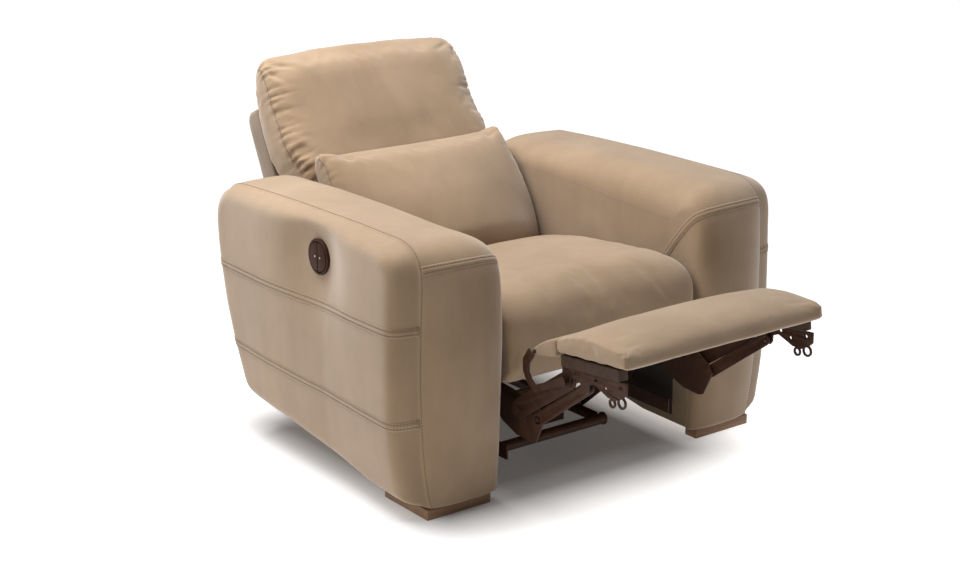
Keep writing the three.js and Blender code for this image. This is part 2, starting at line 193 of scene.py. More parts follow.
def refine(piece):
    """Subdivides the piece once."""
    modifier = piece.modifiers.new("Subdivision", "SUBSURF")
    modifier.levels = modifier.render_levels = 1
    settle(piece)


def coordinates(mesh):
    co = np.empty(len(mesh.vertices) * 3)
    mesh.vertices.foreach_get("co", co)
    return co.reshape(-1, 3)


def normals_of(mesh):
    found = np.empty(len(mesh.vertices) * 3)
    mesh.vertex_normals.foreach_get("vector", found)
    return found.reshape(-1, 3)


def move_to(mesh, co):
    mesh.vertices.foreach_set("co", np.asarray(co, float).ravel())
    mesh.update()


def push(piece, amount):
    """Moves every point along its normal by amount(points), in millimetres."""
    co = coordinates(piece.data)
    shift = amount(unplace(co))
    move_to(piece.data, co + normals_of(piece.data) * (shift * MM)[:, None])


def soft_noise(points, size, seed=0.0):
    """Smooth noise between about -1 and 1 over features of the given size, for each point."""
    return np.array([noise.noise(Vector(p) / size + Vector((seed, seed * 1.7, seed * 0.6))) for p in points])


def along(points, line):
    """For each point: its distance to the line, how far along the line that is, and the nearest point."""
    line = spread(line, step=4)
    run = run_of(line)
    distance = np.full(len(points), 1e9)
    where = np.zeros(len(points))
    nearest = np.zeros((len(points), 3))
    for first in range(0, len(points), 4000):
        part = points[first : first + 4000]
        gaps = np.linalg.norm(part[:, None, :] - line[None], axis=2)
        best = gaps.argmin(axis=1)
        distance[first : first + 4000] = gaps[np.arange(len(part)), best]
        where[first : first + 4000] = run[best]
        nearest[first : first + 4000] = line[best]
    return distance, where, nearest


class Skin:
    """The surface of a piece, which seams and stitches are laid on."""

    def __init__(self, piece):
        mesh = piece.data
        self.tree = BVHTree.FromPolygons(
            [tuple(v.co) for v in mesh.vertices], [tuple(p.vertices) for p in mesh.polygons])
        self.field = normals_of(mesh)
        self.mesh = mesh

    def lay(self, points):
        """The nearest places on the surface, in millimetres, and the directions out of it."""
        found, out = [], []
        for p in place(points):
            co, _, face, _ = self.tree.find_nearest(Vector(p))
            smooth = self.field[list(self.mesh.polygons[face].vertices)].mean(axis=0)
            found.append(co)
            out.append(smooth / np.linalg.norm(smooth))
        return unplace(np.array([tuple(c) for c in found])), np.array(out)


def directions(line):
    """Which way the line runs at each of its points."""
    ahead = np.gradient(line, axis=0)
    return ahead / np.maximum(np.linalg.norm(ahead, axis=1), 1e-9)[:, None]


def smoothed(values, passes=2):
    """The rows of values, each averaged with its neighbours."""
    for _ in range(passes):
        padded = np.vstack([values[:1], values, values[-1:]])
        values = (padded[:-2] + 2 * padded[1:-1] + padded[2:]) / 4
    return values


# ---------- materials ----------
class Shader:
    """A node material with one Principled shader.

    Keywords set its sockets: sheen_weight is "Sheen Weight". Shine is how strongly it mirrors.
    """

    def __init__(self, name, shine=0.5, **sockets):
        self.material = bpy.data.materials.new(name)
        self.material.use_nodes = True
        self.nodes = self.material.node_tree.nodes
        self.links = self.material.node_tree.links
        self.principled = self.nodes["Principled BSDF"]
        self.place = self.nodes.new("ShaderNodeTexCoord").outputs["Object"]
        self.bump = None
        self.principled.inputs["Specular IOR Level"].default_value = shine
        for socket, value in sockets.items():
            self.principled.inputs[socket.replace("_", " ").title()].default_value = value

    def mapped(self, scale=(1, 1, 1), rotation=(0, 0, 0)):
        node = self.nodes.new("ShaderNodeMapping")
        node.inputs["Scale"].default_value = scale
        node.inputs["Rotation"].default_value = rotation
        self.links.new(self.place, node.inputs["Vector"])
        return node.outputs["Vector"]

    def noise(self, scale, detail=3.0, roughness=0.5, vector=None, distortion=0.0):
        node = self.nodes.new("ShaderNodeTexNoise")
        node.inputs["Scale"].default_value = scale
        node.inputs["Detail"].default_value = detail
        node.inputs["Roughness"].default_value = roughness
        node.inputs["Distortion"].default_value = distortion
        self.links.new(vector or self.place, node.inputs["Vector"])
        return node.outputs["Fac"]

    def wave(self, scale, direction, distortion):
        node = self.nodes.new("ShaderNodeTexWave")
        node.bands_direction = direction
        node.inputs["Scale"].default_value = scale
        node.inputs["Distortion"].default_value = distortion
        node.inputs["Detail"].default_value = 1
        self.links.new(self.place, node.inputs["Vector"])
        return node.outputs["Fac"]

    def ramp(self, value, *stops):
        node = self.nodes.new("ShaderNodeValToRGB")
        for element, (position, _) in zip(node.color_ramp.elements, stops):
            element.position = position
        for position, _ in stops[2:]:
            node.color_ramp.elements.new(position)
        for element, (_, color) in zip(node.color_ramp.elements, stops):
            element.color = (*color, 1)
        self.links.new(value, node.inputs["Fac"])
        return node.outputs["Color"]

    def mix(self, amount, first, second):
        node = self.nodes.new("ShaderNodeMix")
        node.data_type = "RGBA"
        if isinstance(amount, float):
            node.inputs["Factor"].default_value = amount
        else:
            self.links.new(amount, node.inputs["Factor"])
        self.links.new(first, node.inputs["A"])
        self.links.new(second, node.inputs["B"])
        return node.outputs["Result"]

    def span(self, value, low, high):
        node = self.nodes.new("ShaderNodeMapRange")
        node.inputs["To Min"].default_value = low
        node.inputs["To Max"].default_value = high
        self.links.new(value, node.inputs["Value"])
        return node.outputs["Result"]

    def vector(self, operation, *values):
        node = self.nodes.new("ShaderNodeVectorMath")
        node.operation = operation
        for socket, value in zip(node.inputs, values):
            if isinstance(value, tuple):
                socket.default_value = value
            else:
                self.links.new(value, socket)
        return node.outputs["Value" if operation == "LENGTH" else "Vector"]

    def color(self, value):
        self.links.new(value, self.principled.inputs["Base Color"])

    def roughness(self, value):
        self.links.new(value, self.principled.inputs["Roughness"])

    def raise_by(self, value, distance, strength):
        """Adds a layer of bump, distance in millimetres."""
        node = self.nodes.new("ShaderNodeBump")
        node.inputs["Strength"].default_value = strength
        node.inputs["Distance"].default_value = distance * MM
        self.links.new(value, node.inputs["Height"])
        if self.bump:
            self.links.new(self.bump, node.inputs["Normal"])
        self.bump = node.outputs["Normal"]
        self.links.new(self.bump, self.principled.inputs["Normal"])


def suede_material(name, tone):
    """Brushed microfibre: a soft nap in patches, fine fibres and a pale sheen. A low tone is darker."""
    s = Shader(name, shine=0.18, sheen_weight=0.5, sheen_roughness=0.5, sheen_tint=(1.0, 0.95, 0.91, 1))
    tones = tone * np.array([(0.228, 0.153, 0.089), (0.28, 0.192, 0.117), (0.334, 0.235, 0.15)])
    nap = s.noise(5.5, 5, 0.55, distortion=0.6)
    brushed = s.noise(3.2, 4, 0.6, s.mapped((7, 7, 1.6), (0.35, 0.2, 0.5)))
    patches = s.ramp(nap, (0.3, tones[0]), (0.52, tones[1]), (0.74, tones[2]))
    strokes = s.ramp(brushed, (0.32, tones[0]), (0.5, tones[1]), (0.72, tones[2]))
    both = s.mix(0.28, patches, strokes)
    fibres = s.noise(950, 2, 0.6)
    s.color(s.mix(0.16, both, s.ramp(fibres, (0.35, tones[0]), (0.65, tones[2]))))
    s.roughness(s.span(nap, 0.78, 0.95))
    s.raise_by(s.noise(17, 3, 0.5), 2.2, 0.2)
    s.raise_by(s.noise(90, 3, 0.6, s.mapped((1, 1, 0.35), (0.3, 0.5, 0.2))), 0.45, 0.22)
    s.raise_by(fibres, 0.12, 0.4)
    return s.material


def thread_material():
    """Brown twisted sewing thread, darker than the fabric: its colour is the thread's own brown and partly
    painted shade, standing for the shade in the seam's groove.
    """
    s = Shader("thread", roughness=0.75, sheen_weight=0.2)
    s.color(s.ramp(s.noise(700, 2), (0.35, (0.085, 0.05, 0.03)), (0.65, (0.15, 0.095, 0.06))))
    s.raise_by(s.wave(900, "DIAGONAL", 0.5), 0.1, 0.4)
    return s.material


def lining_material():
    """Dark plain-woven lining."""
    s = Shader("lining", roughness=0.9, sheen_weight=0.15)
    weave = s.mix(0.5, s.wave(420, "Y", 0.4), s.wave(420, "Z", 0.4))
    worn = s.mix(0.4, weave, s.noise(30, 3))
    s.color(s.ramp(worn, (0.3, (0.012, 0.006, 0.004)), (0.7, (0.03, 0.016, 0.01))))
    s.raise_by(weave, 0.15, 0.5)
    return s.material


def webbing_material():
    """Black elastic webbing."""
    s = Shader("webbing", roughness=0.85)
    weave = s.mix(0.5, s.wave(260, "X", 0.3), s.wave(180, "DIAGONAL", 0.3))
    s.color(s.ramp(weave, (0.3, (0.02, 0.018, 0.016)), (0.7, (0.06, 0.055, 0.05))))
    s.raise_by(weave, 0.2, 0.5)
    return s.material


def wood_material(name, dark, light, grain, rough):
    """Wood between two colours, its grain along x. A higher grain is finer."""
    s = Shader(name, shine=0.25, roughness=rough)
    length = s.mapped((0.7 * grain, 9 * grain, 9 * grain))
    rings = s.noise(7, 4, 0.6, length, 1.4)
    pores = s.noise(60, 3, 0.7, length)
    bands = s.ramp(rings, (0.32, dark), (0.62, light))
    flecks = s.ramp(pores, (0.35, dark), (0.6, light))
    s.color(s.mix(0.35, bands, flecks))
    s.roughness(s.span(pores, rough - 0.08, rough + 0.15))
    s.raise_by(pores, 0.12, 0.35)
    return s.material


def steel_material():
    """Powder-coated steel with a faint orange peel and handling marks."""
    s = Shader("dark_steel", shine=0.3, metallic=0.25)
    marks = s.noise(26, 5, 0.65, distortion=0.8)
    base = np.array((0.043, 0.0175, 0.0085))
    s.color(s.ramp(marks, (0.35, base * 0.75), (0.68, base * 1.45)))
    s.roughness(s.span(marks, 0.4, 0.66))
    s.raise_by(s.noise(520, 2, 0.5), 0.08, 0.35)
    return s.material


def plastic_material(name, base, rough, shine):
    """Moulded plastic with a fine grain."""
    s = Shader(name, shine)
    grain = s.noise(1300, 2, 0.6)
    base = np.array(base)
    s.color(s.ramp(s.noise(40, 3), (0.3, base * 0.85), (0.7, base * 1.2)))
    s.roughness(s.span(grain, rough - 0.05, rough + 0.1))
    s.raise_by(grain, 0.04, 0.3)
    return s.material


SUEDE = suede_material("suede", 1)
SHADED_SUEDE = suede_material("suede_shell", 0.62)
THREAD_WITH_PAINTED_SHADE = thread_material()
LINING = lining_material()
WEBBING = webbing_material()
PLYWOOD = wood_material("stained_plywood", (0.028, 0.014, 0.008), (0.058, 0.033, 0.02), 0.7, 0.6)
WOOD = wood_material("foot_wood", (0.2, 0.11, 0.06), (0.31, 0.185, 0.108), 1, 0.45)
STEEL = steel_material()
PLASTIC = plastic_material("dark_plastic", (0.034, 0.012, 0.005), 0.55, 0.15)
MARK = plastic_material("button_mark", (0.62, 0.57, 0.5), 0.5, 0.5)
FINISH = {"plywood": PLYWOOD, "foot_wood": WOOD, "dark_steel": STEEL, "black_plastic": PLASTIC}


def dress(piece, material, body, slot, *nodes):
    """Gives a finished piece its material and body, and hides the CAD nodes that it stands for. The slot is
    not used.
    """
    piece.data.materials.clear()
    piece.data.materials.append(material)
    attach(piece, body)
    if nodes:
        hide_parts(*nodes)


# ---------- seams and stitches ----------
STITCH_PITCH = 7.5
STITCH_LENGTH = 5.2
STITCH_RADIUS = 0.85
STITCH_SIDES = 6
SEAM_WIDTH = 20
SEAM_HEIGHT = 1.7
STITCH_ROW_INSET = 4.6  # from the seam's edge to its row of stitches
# Along a stitch: part of its length, part of its radius, and how high its middle is.
STITCH_RINGS = ((0.0, 0.25, -0.5), (0.12, 0.85, 0.1), (0.5, 1.0, 0.35), (0.88, 0.85, 0.1), (1.0, 0.25, -0.5))


def stitch_row(line, out):
    """Points and faces of one row of stitches along a line that lies on a surface."""
    run = run_of(line)
    points, faces = [], []
    for first in np.arange(STITCH_PITCH / 2, run[-1] - STITCH_LENGTH, STITCH_PITCH):
        start = len(points)
        for part, thick, rise in STITCH_RINGS:
            stop = first + part * STITCH_LENGTH
            middle = at(stop, run, line)
            ahead = at(stop + 1, run, line) - middle
            up = at(stop, run, out)
            up /= np.linalg.norm(up)
            side = np.cross(ahead, up)
            side /= max(np.linalg.norm(side), 1e-9)
            for k in range(STITCH_SIDES):
                angle = 2 * math.pi * k / STITCH_SIDES
                ray = side * math.cos(angle) + up * math.sin(angle)
                points.append(middle + up * rise * 1.3 + ray * STITCH_RADIUS * thick)
        faces += grid_faces(len(STITCH_RINGS), STITCH_SIDES, wrap=True, start=start)
        last = start + (len(STITCH_RINGS) - 1) * STITCH_SIDES
        faces.append(tuple(range(start, start + STITCH_SIDES))[::-1])
        faces.append(tuple(range(last, last + STITCH_SIDES)))
    return points, faces


def join_parts(parts):
    """The points and faces of several parts as one list of each."""
    points, faces = [], []
    for some, their in parts:
        faces += [tuple(i + len(points) for i in f) for f in their]
        points += list(some)
    return points, faces


def band_part(line, skin):
    """A flat-felled seam: a low raised band, and the two lines its stitches follow."""
    middle, out = skin.lay(spread(line, step=6))
    out = smoothed(out, 3)
    side = np.cross(directions(middle), out)
    side /= np.linalg.norm(side, axis=1)[:, None]
    half, row = SEAM_WIDTH / 2, SEAM_WIDTH / 2 - STITCH_ROW_INSET
    edge = [(half + 1.6, -1.2), (half, 0.35 * SEAM_HEIGHT), (half - 2.2, SEAM_HEIGHT),
            (row, 0.15 * SEAM_HEIGHT), (half - 7, SEAM_HEIGHT)]
    section = [(-across, rise) for across, rise in edge] + edge[::-1] + [(0, -2.6)]
    columns = []
    for across, rise in section:
        spot, _ = skin.lay(middle + side * across)
        columns.append(spot + out * rise)
    points = np.stack(columns, axis=1).reshape(-1, 3)
    count = len(section)
    faces = grid_faces(len(middle), count, wrap=True)
    faces += [tuple(range(count))[::-1], tuple(range(len(points) - count, len(points)))]
    rows = []
    for across in (-row, row):
        spot, _ = skin.lay(middle + side * across)
        rows.append((spot + out * 0.3 * SEAM_HEIGHT, out))
    return (points, faces), rows


def stitching(name, rows, body):
    """One piece with all the stitches of the given rows."""
    points, faces = join_parts([stitch_row(line, out) for line, out in rows])
    piece = make(name, points, faces)
    dress(piece, THREAD_WITH_PAINTED_SHADE, body, "upholstery")


# ---------- arms ----------
# The arm's side outline in four parts, (y, z).
ARM_FRONT = curve((0, 26), ((0, 540),), ((0, 608), (30, 638), (98, 640)))
ARM_TOP = curve((98, 640), ((430, 645), (765, 628)), ((862, 617), (848, 511)))
ARM_REAR = curve((848, 511), ((835, 390), (738, 124)), ((728, 97), (683, 92)))
ARM_BOTTOM = curve((683, 92), ((381, 60),), ((175, 28),), ((0, 26),))
UP, ACROSS = 56, 72  # steps up and along each side of the arm
# Heights on the arm, and how far from the middle its outer seam is there.
SEAM_X = ((24, 494), (52, 504), (141, 516), (226, 521), (337, 523), (446, 520), (594, 515), (660, 513))


def arm_loop():
    """The arm's side outline as four runs that meet in the middle of its round corners."""
    corner = 12
    front = ARM_FRONT[:-corner]
    top = np.vstack([ARM_FRONT[-corner - 1 :], ARM_TOP[1 : -corner]])
    rear = np.vstack([ARM_TOP[-corner - 1 :], ARM_REAR[1 : -corner]])
    bottom = np.vstack([ARM_REAR[-corner - 1 :], ARM_BOTTOM[1:]])
    runs = (spread(front, UP + 1), spread(top, ACROSS + 1), spread(rear, UP + 1), spread(bottom, ACROSS + 1))
    return np.vstack([run[:-1] for run in runs])


def patch(ring):
    """A grid that fills a ring of points whose four runs have UP, ACROSS, UP and ACROSS steps."""
    left = ring[: UP + 1]
    top = ring[UP : UP + ACROSS + 1]
    right = ring[UP + ACROSS : 2 * UP + ACROSS + 1][::-1]
    low = np.vstack([ring[2 * UP + ACROSS :], ring[:1]])[::-1]
    u = np.linspace(0, 1, ACROSS + 1)[None, :, None]
    v = np.linspace(0, 1, UP + 1)[:, None, None]
    corners = ((1 - u) * (1 - v) * left[0] + u * (1 - v) * right[0]
               + (1 - u) * v * left[-1] + u * v * right[-1])
    return (1 - v) * low[None] + v * top[None] + (1 - u) * left[:, None] + u * right[:, None] - corners


def side_shares(loop):
    """How much each point of the loop belongs to the front, top, rear and bottom.

    The shares run smoothly into each other, except at the heel, the corner at the bottom of the front.
    """
    count = len(loop)
    spans = ((0, UP), (UP, UP + ACROSS), (UP + ACROSS, 2 * UP + ACROSS), (2 * UP + ACROSS, count))
    shares = []
    for first, last in spans:
        own = np.zeros(count)
        own[first:last] = 1
        shares.append(own)
    shares = np.array(shares)
    at_heel = (np.arange(count) < 6) | (np.arange(count) > count - 7)
    for _ in range(30):
        mixed = (np.roll(shares, 1, axis=1) + 2 * shares + np.roll(shares, -1, axis=1)) / 4
        shares = np.where(at_heel, shares, mixed)
    return shares


# The padding's shape over the front, top, rear and bottom: how far it rises beside the outer seam, how far in
# it is at the inner face, and how square its section is.
CROWN = np.array([46, 1.5, 16, 0])
INSET = np.array([18, 80, 34, 6])
ROUNDNESS = np.array([3.2, 2.05, 2.3, 2.3])
PUFF = 42  # how far the padded outer side stands out
PUFF_EDGE = 45  # how wide its round edge is
CONTROL_FLOOR = 21.5  # how far it stands out beside the control
CONTROL_FLAT = 42  # radius of the lower place round the control
CONTROL_SLOPE = 72  # how softly it rises from there
PLATE_DEPTH = 7  # the hollow that the control's plate sits in
PLATE_RADIUS = 31
RING_GAPS = (0, 1.6, 3.6, 7, 12, 20, 32, 48, 68, 92)  # distances of the loops beside the seam
CONTROL = unplace(sum(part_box("control_bezel"), Vector()) / 2)


def side_puff(gap):
    """How far the padded outer side stands out, at a distance from its seam."""
    return PUFF * (1 - (1 - np.clip(gap / PUFF_EDGE, 0, 1)) ** 2.6) ** 0.58


def arm_shells():
    """Loops round the arm, from its outer seam over the padding to its inner face."""
    loop = arm_loop()
    ahead = np.roll(loop, -1, axis=0) - np.roll(loop, 1, axis=0)
    outward = np.stack([-ahead[:, 1], ahead[:, 0]], axis=1)
    outward /= np.linalg.norm(outward, axis=1)[:, None]
    outward[0] = (-1, 0)
    shares = side_shares(loop)
    crown, inset, power = shares.T @ CROWN, shares.T @ INSET, shares.T @ ROUNDNESS
    # The top falls more to the inside at its front end, and less towards the rear.
    rear_top = shares[1] * np.interp(loop[:, 0], (250, 650), (0, 1))
    crown += 2 * rear_top
    inset += 9 * shares[1] * np.interp(loop[:, 0], (150, 350), (1, 0)) - 24 * rear_top
    # The padding is thinner low down and at the very top.
    crown *= np.interp(loop[:, 1], (26, 120, 380, 440, 600), (0.3, 0.62, 1, 1, 0.72))
    seam_x = np.interp(loop[:, 1], *zip(*SEAM_X))
    rings = []
    for gone in RING_GAPS:
        part = gone / (seam_x - ARM_MIDDLE)
        rise = crown * (1 - (1 - np.minimum(part, 1)) ** 2.3) - 4.6 * math.exp(-((gone / 5) ** 2))
        rings.append((seam_x - gone, rise))
    for turn in np.linspace(0, math.pi / 2, 15):
        reach, fall = math.sin(turn) ** (2 / power), 1 - max(math.cos(turn), 0) ** (2 / power)
        rings.append((ARM_MIDDLE - (ARM_MIDDLE - ARM_INNER) * reach,
                      crown - (crown + inset) * fall))
    return [np.column_stack([x, loop + outward * rise[:, None]]) for x, rise in rings]


def outer_side(ring, has_control):
    """The padded outer side, as a grid of points inside the ring of its seam."""
    flat = patch(ring).reshape(-1, 3)
    edge = spread(ring, step=6, closed=True)[:, 1:]
    gap = np.array([np.linalg.norm(edge - p[1:], axis=1).min() for p in flat]).reshape(UP + 1, ACROSS + 1)
    gap[[0, -1]] = gap[:, [0, -1]] = 0
    gap = gap.ravel()
    flat[:, 0] = np.where(gap > 0, np.interp(flat[:, 2], *zip(*SEAM_X)), flat[:, 0])
    puff = side_puff(gap) * np.interp(flat[:, 2], (30, 260), (0.88, 1))
    puff *= np.interp(flat[:, 1], (60, 320, 600, 780), (1.42, 1, 1, 0.84))
    if has_control:
        around = np.linalg.norm(flat[:, 1:] - CONTROL[1:], axis=1)
        near = np.exp(-((np.maximum(around - CONTROL_FLAT, 0) / CONTROL_SLOPE) ** 2))
        puff -= (PUFF - CONTROL_FLOOR) * near * np.clip(gap / 36, 0, 1)
        puff -= PLATE_DEPTH * np.exp(-((around / PLATE_RADIUS) ** 6))
    flat[:, 0] += puff
    return flat


def arm_body(name, side):
    """The arm's upholstery: the padding round its outline, and both sides."""
    shells = arm_shells()
    points = np.vstack(shells)
    faces = grid_faces(len(shells), len(shells[0]), wrap=True)
    for surface in (outer_side(shells[0], side < 0), patch(shells[-1]).reshape(-1, 3)):
        faces += grid_faces(UP + 1, ACROSS + 1, start=len(points))
        points = np.vstack([points, surface])
    points[:, 0] *= side
    piece = make(f"arm_{name}", points, faces)
    refine(piece)

    def ripple(p):
        inward = np.clip((np.abs(p[:, 0]) - 306) / 20, 0, 1)
        return 1.3 * soft_noise(p, 150, 3.1 + side) * inward
    push(piece, ripple)
    return piece


def arm_seams(name, side, body_piece):
    """Felled seams across the outer side and over the front, topstitching beside the outer seam."""
    lines = []
    for front_z, rear_z in ((452, 428), (236, 236)):
        rear_y = np.interp(rear_z, (236, 428), (782, 830))
        y = np.linspace(-1, rear_y + 1, 80)
        z = np.interp(y, (0, rear_y), (front_z, rear_z)) - 6 * np.sin(np.clip(y / rear_y, 0, 1) * math.pi)
        gap = np.clip(np.minimum(y, rear_y - y), 0, None)
        lines.append(np.column_stack([side * (np.interp(z, *zip(*SEAM_X)) + side_puff(gap)), y, z]))
    over = curve((513, -6, 590), ((455, -34, 602), (380, -38, 604)), ((318, -34, 602), (299, -18, 592)),
                 ((299, 36, 560), (299, 104, 462)))
    lines.append(over * (side, 1, 1))
    skin = Skin(body_piece)
    bands, rows = [], []
    for line in lines:
        part, pair = band_part(line, skin)
        bands.append(part)
        rows += pair
    piece = make(f"arm_seams_{name}", *join_parts(bands))
    dress(piece, SUEDE, "base", "upholstery")
    loop = arm_loop()[: 2 * UP + ACROSS + 4]
    seam_x = np.interp(loop[:, 1], *zip(*SEAM_X))
    spot, out = skin.lay(spread(np.column_stack([side * (seam_x - 8.5), loop]), step=6))
    rows.append((spot + out * 0.2, smoothed(out)))
    stitching(f"arm_stitching_{name}", rows, "base")


def arm_lining(name, side):
    """The dark panel below the seat, on the arm's inner face, with a turned hem round it."""
    rim = curve((66, 50), ((178, 50),), ((384, 80),), ((640, 106),), ((672, 112), (678, 140)),
                ((716, 318),), ((66, 318),), per_step=14)
    rim = spread(rim, step=9, closed=True)
    middle = rim.mean(axis=0)
    hem = ((0, 301.5), (0, 299.4), (1.2, 298.7), (4, 298.6), (5.2, 299.0), (6.5, 299.0))
    shells = []
    for shrink, x in hem:
        toward = middle - rim
        toward /= np.linalg.norm(toward, axis=1)[:, None]
        shells.append(np.column_stack([np.full(len(rim), side * x), rim + toward * shrink]))
    piece = make(f"lining_{name}", np.vstack(shells), tube_faces(len(shells), len(rim)))
    dress(piece, LINING, "base", "lining", f"arm_lining_{name}")


def build_arms():
    for name, side in SIDES:
        piece = arm_body(name, side)
        arm_seams(name, side, piece)
        dress(piece, SUEDE, "base", "upholstery",
              f"arm_wrap_{name}", f"arm_side_pad_{name}", f"arm_inner_pad_{name}")
        arm_lining(name, side)


# ---------- cushions ----------
CLOTH_FRAMES = 20


def remesh(piece, voxel):
    """Gives a closed form an even mesh, its faces about voxel millimetres across."""
    modifier = piece.modifiers.new("Remesh", "REMESH")
    modifier.mode = "VOXEL"
    modifier.voxel_size = voxel * MM
    settle(piece)
    smooth = piece.modifiers.new("Smooth", "SMOOTH")
    smooth.iterations = 2
    smooth.factor = 0.5
    settle(piece)


def inflate(piece, voxel, cap, pressure=4.0, share=None):
    """Remeshes a closed form and blows it up as cloth, and keeps every point within cap of where it began.

    share(points) is how much of the movement each point keeps. Voxel and cap are in millimetres.
    """
    remesh(piece, voxel)
    start = coordinates(piece.data)
    cloth = piece.modifiers.new("Cloth", "CLOTH")
    settings = cloth.settings
    settings.quality = 4
    settings.mass = 0.3
    settings.use_pressure = True
    settings.uniform_pressure_force = pressure
    settings.tension_stiffness = settings.compression_stiffness = 12
    settings.effector_weights.gravity = 0
    cloth.point_cache.frame_start = 1
    cloth.point_cache.frame_end = CLOTH_FRAMES
    scene = bpy.context.scene
    for number in range(1, CLOTH_FRAMES + 1):
        scene.frame_set(number)
    settle(piece)
    moved = coordinates(piece.data) - start
    length = np.linalg.norm(moved, axis=1)
    limit = cap * MM
    keep = np.where(length > 0, limit * np.tanh(length / limit) / np.maximum(length, 1e-9), 0)
    if share:
        keep *= share(unplace(start))
    move_to(piece.data, start + moved * keep[:, None])
    scene.frame_set(1)
    refine(piece)


def lofted(name, half, section, ends, turn=None, count=150):
    """A closed form: section(part) gives its (y, z) loop at part of the half width, ends its tapers."""
    parts = list(ends) + [(part, 1.0) for part in np.linspace(ends[-1][0], 0, 14)[1:]]
    stations = [(-part, scale) for part, scale in parts] + parts[-2::-1]
    shells = []
    for part, scale in stations:
        loop = spread(section(abs(part)), count, closed=True)
        middle = loop.mean(axis=0)
        loop = middle + (loop - middle) * scale
        shells.append(np.column_stack([np.full(count, part * half), loop]))
    points = np.vstack(shells)
    if turn:
        points = turn(points)
    return make(name, points, tube_faces(len(shells), count))


def gathers(line, depth, pitch, reach, seed, one_side):
    """Puckers that run away from a seam, and the groove of the seam itself.

    one_side(points, nearest) is how deep they are at each point, given the nearest point of the seam.
    """
    def amount(points):
        distance, where, nearest = along(points, line)
        wander = soft_noise(nearest, 46, seed)
        length = reach * (0.85 + 0.6 * soft_noise(nearest, 26, seed + 5))
        fade = np.exp(-((distance / length) ** 1.3))
        wave = 0.5 + 0.5 * np.cos(2 * math.pi * (where / pitch + 0.9 * wander))
        strength = np.clip(0.75 + 0.5 * soft_noise(nearest, 60, seed + 9), 0.25, 1.2)
        puckers = depth * (0.28 - wave**2.4) * fade * strength
        puckers *= one_side(points, nearest)
        return puckers - 3.2 * np.exp(-((distance / 3.6) ** 2))
    return amount


def groove(line, depth, width):
    """A round-bottomed furrow along a line."""
    def amount(points):
        distance, _, _ = along(points, line)
        return -depth * np.exp(-((distance / width) ** 2))
    return amount


def creases(lines, depth, width):
    """Soft folds along short lines, deepest in the middle of each."""
    def amount(points):
        total = np.zeros(len(points))
        for line in lines:
            distance, where, _ = along(points, line)
            length = np.linalg.norm(np.diff(line, axis=0), axis=1).sum()
            fold = depth * np.exp(-((distance / width) ** 2))
            total -= fold * np.sin(np.clip(where / length, 0, 1) * math.pi)
        return total
    return amount


def seam_stitches(name, lines, piece, body):
    """Stitches on the piece's surface along each of the lines."""
    skin = Skin(piece)
    rows = []
    for line in lines:
        spot, out = skin.lay(spread(line, step=6))
        rows.append((spot + out * 0.1, smoothed(out)))
    stitching(name, rows, body)


# ---------- seat ----------
SEAT_HALF = 291


def seat_section(part):
    """The seat cushion's side outline at part of its half width, (y, z)."""
    lift = 15 * (1 - part**4)
    front = 6 * (1 - part**4)
    return curve((596, 336), ((596, 384),), ((520, 406 + lift), (440, 425 + lift)),
                 ((300, 455 + lift), (108, 464 + lift)),
                 ((20, 466 + lift), (-26 - front, 443 + lift), (-26 - front, 386)),
                 ((-26 - front, 318), (-12, 276)), ((-9, 267), (2, 267)), ((52, 268),), ((70, 334),))


def build_seat():
    piece = lofted("seat_cushion_cover", SEAT_HALF, seat_section,
                   ((1, 0.955), (0.99, 0.98), (0.965, 0.995), (0.9, 1)))
    inflate(piece, voxel=8, cap=14)
    rim = seat_section(1)[:150]
    seams = [np.column_stack([np.full(len(rim), side * (SEAT_HALF + 1)), rim]) for _, side in SIDES]
    for line in seams:
        push(piece, groove(line, depth=3.0, width=4.0))
    folds = [curve((-250, 150, 480), ((-150, 120, 492), (-40, 135, 494))),
             curve((60, 300, 488), ((150, 260, 490), (245, 275, 480))),
             curve((-150, -30, 430), ((-120, -40, 380), (-140, -36, 330))),
             curve((200, -30, 440), ((190, -42, 380), (215, -36, 320)))]
    push(piece, creases(folds, depth=1.1, width=14))
    push(piece, lambda p: 1.8 * soft_noise(p, 95, 7.7))
    dress(piece, SUEDE, "base", "upholstery", "seat_cushion")


# ---------- back ----------
HEAD_HALF = 301
LUMBAR_HALF = 293
SHELL_HALF = 300
HELD_HALF = 298  # how far a cushion may reach from the middle between the arms
FREE_HALF = 330  # and above them
# The folds at each end of the head cushion: where one starts, (y, z), and where it runs to, (x, y, z).
HEAD_FOLDS = (((-150, 540), (200, -182, 490)), ((-132, 548), (215, -166, 548)),
              ((-158, 522), (228, -180, 440)))


def head_section(part):
    """The head cushion's side outline, in the back's own frame."""
    lift = 22 * (1 - part**3)
    puff = 12 * (1 - part**3)
    return curve((-74, 30), ((-74, 360),), ((-78, 452), (-104, 516 + lift)),
                 ((-124, 551 + lift), (-146, 541 + lift)), ((-164, 526 + lift), (-168 - puff * 1.2, 466)),
                 ((-174 - puff * 2, 372), (-188 - puff * 1.4, 320)),
                 ((-196 - puff, 285), (-210 - puff * 0.4, 240)), ((-212, 150),), ((-198, 36), (-180, 30)))


def lumbar_section(part):
    """The lumbar cushion's side outline, in the back's own frame."""
    puff = 88 * (1 - part**2.2)
    low = 10 * (1 - part**2)
    return curve((-232, -50), ((-230, 205),), ((-232, 242), (-258, 245)), ((-280, 247), (-289, 234)),
                 ((-306 - puff * 0.3, 190), (-320 - puff * 0.55, 110)),
                 ((-330 - puff * 0.85, 40), (-328 - puff * 0.93, -35)),
                 ((-324 - puff * 0.85, -98 - low), (-292 - puff * 0.85, -98 - low)), ((-250, -80),))


def flared(points):
    """The head cushion swells sideways above the arms."""
    p = np.array(points, float)
    p[..., 0] *= 1 + np.interp(p[..., 2], (180, 290, 470, 560), (-0.01, 0.075, 0.068, 0.02))
    return on_back(p)


